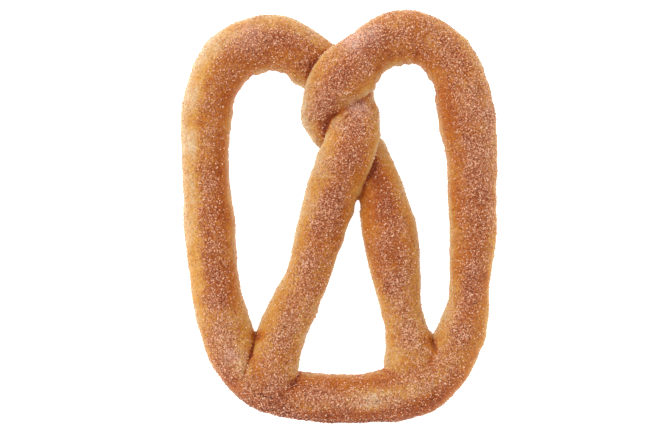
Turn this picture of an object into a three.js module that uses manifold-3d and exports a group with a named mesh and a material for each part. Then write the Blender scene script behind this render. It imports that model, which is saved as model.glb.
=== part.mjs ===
// A cinnamon sugar soft pretzel: one long rope of dough, looped into two tall arches, twisted round
// itself twice in the middle and pressed down at both tips, with its coarsest sugar grains fused on.
//
// Millimetres, +Z up, lying flat as it is served. The origin is under the middle of the pretzel, on the
// surface that it rests on. +Y runs from the bottom bar to the arches, +X to the right.
import * as THREE from "three";
import { mergeVertices } from "three/addons/utils/BufferGeometryUtils.js";
import Module from "manifold-3d";

// The strand.
const PLUMPNESS = 0.83; // height of a free strand, as a share of its width
const WAIST = 0.43; // height of the widest place, as a share of the strand's height
const UNDERCUT = 1.25; // above 1 the underside is cut off flat, where it was baked on the tray

// The two places where the arms cross, the upper one first.
const UPPER_CROSSING = { x: -1, y: 60, over: "right" };
const LOWER_CROSSING = { x: 4.5, y: 31, over: "left" };
const CLIMB = 10.5; // how far the arm on top is lifted off the tray
const CLIMB_REACH = 31; // along the arm, to each side of the crossing
const SQUASH_UNDER = 0.3; // height that the arm below loses
const SQUASH_OVER = 0.12; // height that the arm on top loses
const SQUASH_REACH = 24;

// The tips, which are pressed onto the corners of the bottom bar.
const TIP_LIFT = { left: 6, right: 2 };
const TIP_SQUASH = { left: 0.2, right: 0.2 };
const TIP_REACH = 30;
const TIP_ROUNDING = 11; // length over which a tip closes

// Unevenness of the hand-rolled rope.
const LUMP = 0.35; // height of the broad swellings
const WRINKLE_DEPTH = 0.9; // folds across the inside of a tight bend
const WRINKLE_PITCH = 7.5;
const TIGHT_BEND = 1 / 24; // curvature at which the folds are at their full depth

// Faceting.
const SIDES = 20; // round the strand
const STRAIGHT_STEP = 4.2; // along the strand
const BEND_STEP = 2.8;
const ROUTE_STEPS = 16; // route points between two stations

// Sugar: only the grains coarse enough to be a shape of their own.
const GRAINS = 110;
const GRAIN_SIZE = [1, 1.5]; // along its longest edge
const GRAIN_SHAPE = [1, 0.85, 0.7]; // edges, as shares of the longest
const GRAIN_SINK = 0.2; // how deep its middle lies in the crust, as a share of its size
const GRAIN_BAND = [25, 155]; // degrees round the strand, where 90 is its top
const GRAIN_SEED = 20;

// Where the middle of the strand runs and how wide it is there, from the middle of the bottom bar
// out along each arm to its tip.
const BOTTOM_MIDDLE = { x: 0, y: -79, width: 20.6 };
const LEFT_ARM = [
  { x: -21, y: -77.6, width: 20.8 }, // bottom bar
  { x: -33.3, y: -73.3, width: 21.4 },
  { x: -41.5, y: -65.2, width: 20.7 }, // corner
  { x: -50.7, y: -44, width: 22.6 }, // outer side
  { x: -54, y: -29, width: 20.8 },
  { x: -55.7, y: -13, width: 21.8 },
  { x: -58, y: 22, width: 20.4 },
  { x: -55.6, y: 53, width: 21.8 }, // arch
  { x: -44.2, y: 70.4, width: 24.6 },
  { x: -30, y: 75, width: 24.6 },
  { x: -15, y: 69.5, width: 23.2 },
  { x: -1.5, y: 59, width: 22 }, // under the other arm
  { x: 7, y: 47, width: 19.6 }, // elbow
  { x: 5, y: 31.5, width: 22.8 }, // over the other arm
  { x: 0.1, y: 19, width: 23.2 },
  { x: -4.6, y: 6, width: 22.2 }, // leg
  { x: -13.2, y: -24, width: 19.3 },
  { x: -19, y: -38, width: 20.8 },
  { x: -24.7, y: -51, width: 21.2 },
  { x: -30.2, y: -77.5, width: 20.5 }, // tip
];
const RIGHT_ARM = [
  { x: 19, y: -78.3, width: 22.4 }, // bottom bar
  { x: 34, y: -74.5, width: 23.5 },
  { x: 46.2, y: -65.5, width: 21.4 }, // corner
  { x: 54.8, y: -45, width: 20.3 }, // outer side
  { x: 57, y: -30, width: 17.6 },
  { x: 58, y: -15, width: 19.7 },
  { x: 58, y: 12, width: 21.3 },
  { x: 55, y: 44, width: 24.4 }, // arch
  { x: 52, y: 58.5, width: 23 },
  { x: 45, y: 70.5, width: 22.8 },
  { x: 37.5, y: 76.1, width: 22.8 },
  { x: 28.5, y: 77.5, width: 23.8 },
  { x: 18, y: 74.4, width: 22.4 },
  { x: 12, y: 69.6, width: 22.4 },
  { x: 6, y: 63.4, width: 26 },
  { x: -1.5, y: 56.5, width: 23.8 }, // over the other arm
  { x: -5.8, y: 44.5, width: 20.2 }, // elbow
  { x: -0.5, y: 35.5, width: 20.5 },
  { x: 9.5, y: 26.5, width: 21 }, // under the other arm
  { x: 18, y: 11.5, width: 20 }, // leg
  { x: 22.2, y: -9, width: 23.6 },
  { x: 24.8, y: -26, width: 21.4 },
  { x: 26.6, y: -38, width: 18.3 },
  { x: 29.2, y: -50, width: 18.8 },
  { x: 31.5, y: -62, width: 23.2 },
  { x: 32.5, y: -76, width: 21.5 }, // tip
];

/** 1 at the middle of a stretch, falling smoothly to 0 at its reach. */
function swell(distance, reach) {
  const share = Math.min(1, Math.abs(distance) / reach);
  return 0.5 + 0.5 * Math.cos(Math.PI * share);
}

/** Points along one arm, from the bottom bar to the tip: place, width and distance along. */
function routeOf(arm) {
  // The curve's third coordinate carries the width, so that both are smoothed alike.
  const stations = arm.map((s) => new THREE.Vector3(s.x, s.y, s.width));
  const curve = new THREE.CatmullRomCurve3(stations);
  const points = curve.getPoints((stations.length - 1) * ROUTE_STEPS);
  let along = 0;
  return points.map((p, i) => {
    if (i) along += Math.hypot(p.x - points[i - 1].x, p.y - points[i - 1].y);
    return { x: p.x, y: p.y, width: p.z, along };
  });
}

/** The route's distance along at the point nearest to a place. */
function alongAt(route, place) {
  const off = (p) => Math.hypot(p.x - place.x, p.y - place.y);
  return route.reduce((best, p) => (off(p) < off(best) ? p : best)).along;
}

/** Adds to each route point how high the strand lies, how tall it is and how it is closed. */
function shapeArm(route, side) {
  const length = route.at(-1).along;
  const crossings = [UPPER_CROSSING, LOWER_CROSSING].map((place) => ({
    along: alongAt(route, place),
    over: place.over === side,
  }));
  for (const p of route) {
    p.base = 0;
    let squash = 0;
    for (const crossing of crossings) {
      const distance = p.along - crossing.along;
      if (crossing.over) p.base += CLIMB * swell(distance, CLIMB_REACH);
      squash += (crossing.over ? SQUASH_OVER : SQUASH_UNDER) * swell(distance, SQUASH_REACH);
    }
    const toTip = length - p.along;
    const press = swell(Math.max(0, toTip - TIP_ROUNDING), TIP_REACH);
    p.base += TIP_LIFT[side] * press;
    squash += TIP_SQUASH[side] * press;
    p.height = p.width * PLUMPNESS * (1 - squash);
    const open = Math.min(1, toTip / TIP_ROUNDING);
    p.closing = Math.sqrt(1 - (1 - open) ** 2);
  }
  return route;
}

/** The route points of both arms as one rope, from the left tip to the right tip. */
function ropeRoute() {
  const left = shapeArm(routeOf([BOTTOM_MIDDLE, ...LEFT_ARM]), "left");
  const right = shapeArm(routeOf([BOTTOM_MIDDLE, ...RIGHT_ARM]), "right");
  const rope = [...left.slice(1).reverse(), ...right];
  const start = left.at(-1).along;
  rope.forEach((p, i) => (p.along = i < left.length - 1 ? start - p.along : start + p.along));
  return rope;
}

/** Heading and curvature in plan of each point, from its neighbours. */
function addHeadings(rope) {
  rope.forEach((p, i) => {
    const before = rope[Math.max(0, i - 1)];
    const after = rope[Math.min(rope.length - 1, i + 1)];
    p.heading = Math.atan2(after.y - before.y, after.x - before.x);
  });
  const WINDOW = 6;
  rope.forEach((p, i) => {
    const before = rope[Math.max(0, i - WINDOW)];
    const after = rope[Math.min(rope.length - 1, i + WINDOW)];
    const turn = after.heading - before.heading;
    p.curvature = Math.atan2(Math.sin(turn), Math.cos(turn)) / (after.along - before.along);
  });
}

/** The rings of the strand: route points a step apart, closer together in the bends. */
function ringsOf(rope) {
  const rings = [rope[0]];
  for (const p of rope) {
    const bend = Math.min(1, Math.abs(p.curvature) / TIGHT_BEND);
    const step = THREE.MathUtils.lerp(STRAIGHT_STEP, BEND_STEP, bend);
    if (p.along - rings.at(-1).along >= step || p === rope.at(-1)) rings.push(p);
  }
  return rings;
}

/** How far the surface stands out at a place on the dough, in broad uneven swellings. */
function lump(x, y, z) {
  const broad = Math.sin(x / 7.3 + 1.9 * Math.sin(y / 11.7)) * Math.sin(y / 8.9 + z / 6.1);
  const fine = Math.sin(x / 3.7 - y / 4.9 + 2) * Math.sin(y / 3.1 + z / 3.3 + x / 9.7);
  return LUMP * (broad + 0.45 * fine);
}

/** Folds across the inside of a bend, as a depth that the surface sinks by. */
function wrinkle(ring, sideways) {
  const tightness = Math.min(1, Math.abs(ring.curvature) / TIGHT_BEND);
  const inward = Math.max(0, sideways * Math.sign(ring.curvature));
  const fold = Math.cos((2 * Math.PI * ring.along) / WRINKLE_PITCH + Math.sin(ring.along / 9));
  return WRINKLE_DEPTH * tightness * inward * (0.5 + 0.5 * fold);
}

/** One point of a ring, at an angle round the strand that starts at its left side. */
function surfacePoint(ring, angle) {
  const sideways = Math.cos(angle);
  const upwards = Math.sin(angle);
  const waist = ring.height * WAIST;
  const above = (ring.height - waist) * upwards;
  const below = Math.max(-waist, waist * UNDERCUT * upwards);
  const side = [-Math.sin(ring.heading), Math.cos(ring.heading)];
  const reach = (ring.width / 2) * ring.closing;
  const x = ring.x + side[0] * reach * sideways;
  const y = ring.y + side[1] * reach * sideways;
  const z = ring.base + waist + ring.closing * (upwards > 0 ? above : below);
  const free = ring.closing * Math.max(0, 1 + 1.4 * Math.min(0, upwards));
  const out = (lump(x, y, z) - wrinkle(ring, sideways)) * free;
  return new THREE.Vector3(
    x + side[0] * sideways * out,
    y + side[1] * sideways * out,
    Math.max(0, z + upwards * out),
  );
}

/** A closed tube through a run of rings, in which no part meets another. */
function strandGeometry(rings) {
  const positions = [];
  const indices = [];
  const put = (p) => positions.push(p.x, p.y, p.z) / 3 - 1;
  const loops = rings.map((ring) =>
    Array.from({ length: SIDES }, (_, k) => surfacePoint(ring, (2 * Math.PI * k) / SIDES)),
  );
  const rows = loops.map((loop) => loop.map(put));
  for (let i = 1; i < rows.length; i++) {
    for (let k = 0; k < SIDES; k++) {
      const next = (k + 1) % SIDES;
      const [a, b, c, d] = [rows[i - 1][k], rows[i - 1][next], rows[i][next], rows[i][k]];
      indices.push(a, b, c, a, c, d);
    }
  }
  for (const [row, loop, flip] of [
    [rows[0], loops[0], true],
    [rows.at(-1), loops.at(-1), false],
  ]) {
    const middle = loop.reduce((sum, p) => sum.add(p), new THREE.Vector3()).divideScalar(SIDES);
    const hub = put(middle);
    for (let k = 0; k < SIDES; k++) {
      const pair = [row[k], row[(k + 1) % SIDES]];
      indices.push(hub, ...(flip ? pair.reverse() : pair));
    }
  }
  return new THREE.BufferGeometry()
    .setAttribute("position", new THREE.Float32BufferAttribute(positions, 3))
    .setIndex(indices);
}

const wasm = await Module();
wasm.setup();

/** A geometry as a solid that can be joined to others. */
function solidOf(geometry) {
  geometry.deleteAttribute("normal");
  geometry.deleteAttribute("uv");
  const merged = mergeVertices(geometry, 1e-4);
  const mesh = new wasm.Mesh({
    numProp: 3,
    vertProperties: merged.attributes.position.array,
    triVerts: new Uint32Array(merged.index.array),
  });
  return new wasm.Manifold(mesh);
}

/** A solid as a geometry that three.js draws. */
function geometryOf(solid) {
  const mesh = solid.getMesh();
  const geometry = new THREE.BufferGeometry()
    .setAttribute("position", new THREE.BufferAttribute(mesh.vertProperties, 3))
    .setIndex(new THREE.BufferAttribute(mesh.triVerts, 1));
  geometry.computeVertexNormals();
  return geometry;
}

/** The whole rope as one solid. It is cut at both shoulders, so that no stretch crosses itself. */
function doughSolid(rings) {
  const shoulder = (arm) => arm.find((s) => s.y > 20);
  const ringNear = (place) => {
    const off = (r) => Math.hypot(r.x - place.x, r.y - place.y);
    return rings.indexOf(rings.reduce((best, r) => (off(r) < off(best) ? r : best)));
  };
  const cuts = [0, ringNear(shoulder(LEFT_ARM)), ringNear(shoulder(RIGHT_ARM)), rings.length - 1];
  const stretches = [0, 1, 2].map((i) => rings.slice(cuts[i], cuts[i + 1] + 1));
  return stretches.map((s) => solidOf(strandGeometry(s))).reduce((whole, s) => whole.add(s));
}

/** Draws from 0 to 1 that are the same on every run. */
function seededDraws(seed) {
  const MULTIPLIER = 16807;
  const MODULUS = 2147483647;
  let state = seed;
  return () => {
    state = (state * MULTIPLIER) % MODULUS;
    return state / MODULUS;
  };
}

/** Whether another stretch of the rope lies over a place on the crust. */
function isCovered(place, ring, rings) {
  return rings.some((other) => {
    const sameStretch = Math.abs(other.along - ring.along) < 2 * ring.width;
    const off = Math.hypot(other.x - place.x, other.y - place.y);
    return !sameStretch && off < other.width / 2 && other.base + other.height > place.z;
  });
}

/** The coarse sugar grains, spread evenly along the rope and across its upper side. */
function grainSolids(rings) {
  const draw = seededDraws(GRAIN_SEED);
  const between = (low, high) => THREE.MathUtils.lerp(low, high, draw());
  const grains = [];
  for (let i = 0; i < GRAINS; i++) {
    const ring = rings[Math.floor(((i + draw()) / GRAINS) * rings.length)];
    const angle = THREE.MathUtils.degToRad(between(...GRAIN_BAND));
    const size = between(...GRAIN_SIZE);
    const turn = new THREE.Euler(...[0, 0, 0].map(() => between(0, Math.PI)));
    const place = surfacePoint(ring, angle);
    if (isCovered(place, ring, rings)) continue;
    place.z -= size * GRAIN_SINK;
    const grain = new THREE.BoxGeometry(...GRAIN_SHAPE.map((share) => share * size));
    grain.applyMatrix4(new THREE.Matrix4().makeRotationFromEuler(turn).setPosition(place));
    grains.push(solidOf(grain));
  }
  return grains;
}

const rope = ropeRoute();
addHeadings(rope);
const rings = ringsOf(rope);
const sugaredDough = wasm.Manifold.union([doughSolid(rings), ...grainSolids(rings)]);

const crust = new THREE.MeshStandardMaterial({ color: 0xc98a55, roughness: 0.75, metalness: 0 });
const pretzel = new THREE.Mesh(geometryOf(sugaredDough), crust);
pretzel.name = "pretzel";

// The uneven outline is centred over the origin.
const outline = new THREE.Box3().setFromObject(pretzel);
pretzel.geometry.translate(-(outline.min.x + outline.max.x) / 2, -(outline.min.y + outline.max.y) / 2, 0);

const softPretzel = new THREE.Group();
softPretzel.add(pretzel);

export default softPretzel;
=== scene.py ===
"""A cinnamon sugar soft pretzel: its dough, baked crust and sugar, lit softly from above."""

import logging
import math
from dataclasses import dataclass, field
from enum import Enum
from typing import Dict, Optional, Sequence, Tuple, Union

import bpy
import numpy as np
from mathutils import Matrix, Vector, noise
from mathutils.bvhtree import BVHTree


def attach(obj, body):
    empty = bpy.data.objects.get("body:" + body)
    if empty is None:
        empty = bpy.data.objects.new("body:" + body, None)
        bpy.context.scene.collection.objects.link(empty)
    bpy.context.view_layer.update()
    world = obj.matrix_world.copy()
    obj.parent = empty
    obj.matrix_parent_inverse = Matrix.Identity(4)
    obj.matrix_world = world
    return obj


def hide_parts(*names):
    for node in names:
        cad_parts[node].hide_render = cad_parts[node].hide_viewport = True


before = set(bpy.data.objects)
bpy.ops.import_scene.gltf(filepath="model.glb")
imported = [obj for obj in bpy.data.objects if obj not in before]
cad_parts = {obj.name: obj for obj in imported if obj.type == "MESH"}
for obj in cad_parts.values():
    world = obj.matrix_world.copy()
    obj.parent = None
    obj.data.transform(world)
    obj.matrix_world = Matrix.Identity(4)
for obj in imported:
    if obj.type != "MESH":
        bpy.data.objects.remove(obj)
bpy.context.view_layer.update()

LOG = logging.getLogger("pretzel")
MM = 0.001
BODY = "root"
NODE = "pretzel"

Array = np.ndarray
Mesh = bpy.types.Mesh
Range = Tuple[float, float]
Colour = Tuple[float, float, float, float]
Number = Union["Signal", float, int]
Settings = Optional[Dict[str, object]]
Inputs = Optional[Dict[Union[str, int], object]]
Level = Union[float, Array]


def srgb(red: int, green: int, blue: int) -> Colour:
    """Turns a display colour into the linear colour that the shaders take.

    Args:
        red: red from 0 to 255.
        green: green from 0 to 255.
        blue: blue from 0 to 255.

    Returns:
        The linear colour, opaque.
    """
    knee, slope, offset, power = 0.04045, 12.92, 0.055, 2.4
    shares = [c / 255 for c in (red, green, blue)]
    linear = [c / slope if c <= knee else ((c + offset) / (1 + offset)) ** power for c in shares]
    return (linear[0], linear[1], linear[2], 1.0)


class Signal:
    """A node's output that takes part in Python arithmetic by adding Math nodes."""

    def __init__(self, graph: "Graph", socket: bpy.types.NodeSocket) -> None:
        """Keeps the socket and the graph that it belongs to."""
        self.graph = graph
        self.socket = socket

    def __add__(self, other: Number) -> "Signal":
        """self + other."""
        return self.graph.math("ADD", self, other)

    def __radd__(self, other: Number) -> "Signal":
        """other + self."""
        return self.graph.math("ADD", other, self)

    def __sub__(self, other: Number) -> "Signal":
        """self - other."""
        return self.graph.math("SUBTRACT", self, other)

    def __rsub__(self, other: Number) -> "Signal":
        """other - self."""
        return self.graph.math("SUBTRACT", other, self)

    def __mul__(self, other: Number) -> "Signal":
        """self * other."""
        return self.graph.math("MULTIPLY", self, other)

    def __rmul__(self, other: Number) -> "Signal":
        """other * self."""
        return self.graph.math("MULTIPLY", other, self)

    def __truediv__(self, other: Number) -> "Signal":
        """self / other."""
        return self.graph.math("DIVIDE", self, other)

    def clamped(self) -> "Signal":
        """The same value kept between 0 and 1."""
        return self.graph.math("MINIMUM", self.graph.math("MAXIMUM", self, 0.0), 1.0)


class Graph:
    """A node tree under construction, for shaders and for geometry alike."""

    COLOUR_LOW, COLOUR_HIGH, COLOUR_RESULT = 6, 7, 2  # sockets of a Mix node that mixes colours

    def __init__(self, tree: bpy.types.NodeTree) -> None:
        """Keeps the tree that the nodes are added to."""
        self.tree = tree

    def node(self, kind: str, settings: Settings = None, inputs: Inputs = None) -> bpy.types.Node:
        """Adds one node.

        Args:
            kind: the node's type.
            settings: its properties, set first.
            inputs: values or signals for its sockets, by name or number.

        Returns:
            The new node.
        """
        node = self.tree.nodes.new(kind)
        for name, value in (settings or {}).items():
            setattr(node, name, value)
        for name, value in (inputs or {}).items():
            if isinstance(value, Signal):
                self.tree.links.new(value.socket, node.inputs[name])
            else:
                node.inputs[name].default_value = value
        return node

    def take(
        self, kind: str, settings: Settings = None, inputs: Inputs = None, output: object = 0
    ) -> Signal:
        """Adds one node and gives one of its outputs, by name or number."""
        return Signal(self, self.node(kind, settings, inputs).outputs[output])

    def math(self, operation: str, first: Number, second: Number = 0.0) -> Signal:
        """Adds a Math node; its second value is unused where the operation takes one."""
        return self.take("ShaderNodeMath", {"operation": operation}, {0: first, 1: second})

    def mix(self, factor: Number, low: object, high: object, mode: str = "MIX") -> Signal:
        """Blends two colours.

        Args:
            factor: the share of high.
            low: the result where the factor is 0.
            high: the result where the factor is 1.
            mode: how they are blended.

        Returns:
            The blend.
        """
        settings = {"data_type": "RGBA", "blend_type": mode}
        inputs = {0: factor, self.COLOUR_LOW: low, self.COLOUR_HIGH: high}
        return self.take("ShaderNodeMix", settings, inputs, self.COLOUR_RESULT)

    def step(self, value: Number, low: float, high: float) -> Signal:
        """A smooth step from 0 at the low value to 1 at the high one."""
        inputs = {"Value": value, "From Min": low, "From Max": high}
        return self.take("ShaderNodeMapRange", {"interpolation_type": "SMOOTHSTEP"}, inputs)


class ShaderGraph(Graph):
    """The node tree of one material."""

    def __init__(self, name: str) -> None:
        """Makes the material and empties its tree.

        Args:
            name: name of the material.
        """
        self.material = bpy.data.materials.new(name)
        self.material.use_nodes = True
        super().__init__(self.material.node_tree)
        self.tree.nodes.clear()

    def attribute(self, name: str) -> Signal:
        """A value that the mesh carries."""
        return self.take("ShaderNodeAttribute", {"attribute_name": name}, output="Fac")

    def grain(self, pitch: float, detail: float, roughness: float) -> Signal:
        """Noise from 0 to 1 that is fixed to the object.

        Args:
            pitch: size of its spots in metres.
            detail: finer layers on top.
            roughness: weight of the finer layers.

        Returns:
            The noise.
        """
        place = self.take("ShaderNodeTexCoord", output="Object")
        inputs = {"Vector": place, "Scale": 1 / pitch, "Detail": detail, "Roughness": roughness}
        return self.take("ShaderNodeTexNoise", {}, inputs, "Fac")

    def grains(self, size: float) -> Tuple[Signal, Signal, Signal]:
        """Rounded grains packed side by side, fixed to the object.

        Args:
            size: size of a grain in metres.

        Returns:
            Two random values from 0 to 1 of each grain, and how high the grain stands.
        """
        place = self.take("ShaderNodeTexCoord", output="Object")
        cells = self.node("ShaderNodeTexVoronoi", {}, {"Vector": place, "Scale": 1 / size})
        tint = Signal(self, cells.outputs["Color"])
        parts = self.node("ShaderNodeSeparateColor", {}, {"Color": tint})
        dome = 1 - Signal(self, cells.outputs["Distance"])
        return Signal(self, parts.outputs[0]), Signal(self, parts.outputs[1]), dome

    def ramp(self, place: Signal, *stops: Tuple[float, Colour]) -> Signal:
        """Looks up a colour between stops.

        Args:
            place: where to look, from 0 to 1.
            stops: the place and colour of each stop, in order.

        Returns:
            The colour.
        """
        node = self.node("ShaderNodeValToRGB", {}, {"Fac": place})
        elements = node.color_ramp.elements
        while len(elements) < len(stops):
            elements.new(1.0)
        for element, (position, colour) in zip(elements, stops):
            element.position, element.color = position, colour
        return Signal(self, node.outputs["Color"])

    def finish(self, shader: Dict[str, object]) -> bpy.types.Material:
        """Closes the material with one Principled shader.

        Args:
            shader: the values and signals of the shader's sockets.

        Returns:
            The finished material.
        """
        surface = self.take("ShaderNodeBsdfPrincipled", {}, shader)
        self.node("ShaderNodeOutputMaterial", {}, {"Surface": surface})
        return self.material


class GeometryGraph(Graph):
    """A Geometry Nodes tree with named inputs."""

    KINDS = {
        float: "NodeSocketFloat",
        int: "NodeSocketInt",
        bpy.types.Material: "NodeSocketMaterial",
    }
    ON_POINTS = {"data_type": "FLOAT", "domain": "POINT"}

    def __init__(self, name: str, sizes: Dict[str, object]) -> None:
        """Makes the tree and its interface.

        Args:
            name: name of the tree.
            sizes: the named inputs and their values.
        """
        super().__init__(bpy.data.node_groups.new(name, "GeometryNodeTree"))
        faces = self.tree.interface
        faces.new_socket(name="Geometry", in_out="INPUT", socket_type="NodeSocketGeometry")
        faces.new_socket(name="Geometry", in_out="OUTPUT", socket_type="NodeSocketGeometry")
        self.sizes = sizes
        self.identifiers: Dict[str, str] = {}
        for label, value in sizes.items():
            kind = self.KINDS[type(value)]
            socket = faces.new_socket(name=label, in_out="INPUT", socket_type=kind)
            self.identifiers[label] = socket.identifier
        self.entry = self.node("NodeGroupInput")

    def given(self, label: str) -> Signal:
        """One of the tree's named inputs."""
        return Signal(self, self.entry.outputs[label])

    def named(self, name: str) -> Signal:
        """A number that the geometry carries."""
        kind = "GeometryNodeInputNamedAttribute"
        return self.take(kind, {"data_type": "FLOAT"}, {"Name": name}, "Attribute")

    def keep(self, geometry: Signal, name: str, value: Number) -> Signal:
        """The geometry with a value stored on every point."""
        inputs = {"Geometry": geometry, "Name": name, "Value": value}
        return self.take("GeometryNodeStoreNamedAttribute", self.ON_POINTS, inputs)

    def random(self, low: Number, high: Number, seed: Number) -> Signal:
        """A random value for each element, from a fixed seed."""
        inputs = {2: low, 3: high, 8: seed}
        return self.take("FunctionNodeRandomValue", {"data_type": "FLOAT"}, inputs, 1)

    def close(self, geometry: Signal, material: Signal) -> None:
        """Ends the tree with real geometry and its material.

        Args:
            geometry: what the tree gives.
            material: the material's input.
        """
        real = self.take("GeometryNodeRealizeInstances", {}, {"Geometry": geometry})
        dressed = self.take("GeometryNodeSetMaterial", {}, {"Geometry": real, "Material": material})
        self.node("NodeGroupOutput", {}, {"Geometry": dressed})

    def run(self, mesh: Mesh, name: str) -> Mesh:
        """Runs the tree on a mesh.

        Args:
            mesh: what goes in.
            name: name of the mesh that comes out.

        Returns:
            A plain mesh, free of modifiers.
        """
        carrier = linked(name + "_carrier", mesh)
        modifier = carrier.modifiers.new(name, "NODES")
        modifier.node_group = self.tree
        for label, value in self.sizes.items():
            modifier[self.identifiers[label]] = value
        return baked_mesh(carrier, name)


def linked(name: str, data: bpy.types.ID) -> bpy.types.Object:
    """Puts something in the scene.

    Args:
        name: name of the new object.
        data: its mesh, lamp or camera.

    Returns:
        The object.
    """
    item = bpy.data.objects.new(name, data)
    bpy.context.scene.collection.objects.link(item)
    return item


def baked_mesh(carrier: bpy.types.Object, name: str) -> Mesh:
    """The mesh that an object's modifiers give, without empty material slots.

    Args:
        carrier: the object with its modifiers, which goes.
        name: name of the new mesh.

    Returns:
        A plain mesh.
    """
    graph = bpy.context.evaluated_depsgraph_get()
    graph.update()
    mesh = bpy.data.meshes.new_from_object(carrier.evaluated_get(graph))
    bpy.data.objects.remove(carrier)
    mesh.name = name
    for index in reversed(range(len(mesh.materials))):
        if mesh.materials[index] is None:
            mesh.materials.pop(index=index)
    return mesh


def placed(mesh: Mesh, name: str) -> bpy.types.Object:
    """Puts a finished mesh in the scene, riding on the pretzel's body.

    Args:
        mesh: the finished mesh, in place.
        name: name of the piece.

    Returns:
        The piece.
    """
    piece = linked(name, mesh)
    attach(piece, BODY)
    return piece


def read(items: object, name: str, width: int, kind: type = np.float32) -> Array:
    """Reads one property of many items.

    Args:
        items: points, edges or values of a mesh.
        name: the property's name.
        width: numbers in each value.
        kind: type of the numbers.

    Returns:
        One row for each item.
    """
    values = np.zeros(len(items) * width, kind)
    items.foreach_get(name, values)
    return values.reshape(-1, width)


def store(mesh: Mesh, columns: Dict[str, Array]) -> None:
    """Puts columns of numbers on a mesh's points."""
    for name, values in columns.items():
        mesh.attributes.new(name, "FLOAT", "POINT").data.foreach_set("value", values.astype("f"))


def several(kind: type, *rows: Tuple[float, ...]) -> Tuple:
    """Parts of one kind, from rows of their sizes."""
    return tuple(kind(*row) for row in rows)


class Side(Enum):
    """The two arms of the rope."""

    LEFT = "left"
    RIGHT = "right"


@dataclass(frozen=True)
class Station:
    """Where the middle of the strand runs, and how wide the strand is there, in millimetres."""

    x: float
    y: float
    width: float


@dataclass(frozen=True)
class Crossing:
    """A place where one arm lies over the other, in millimetres."""

    x: float
    y: float
    over: Side


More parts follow.
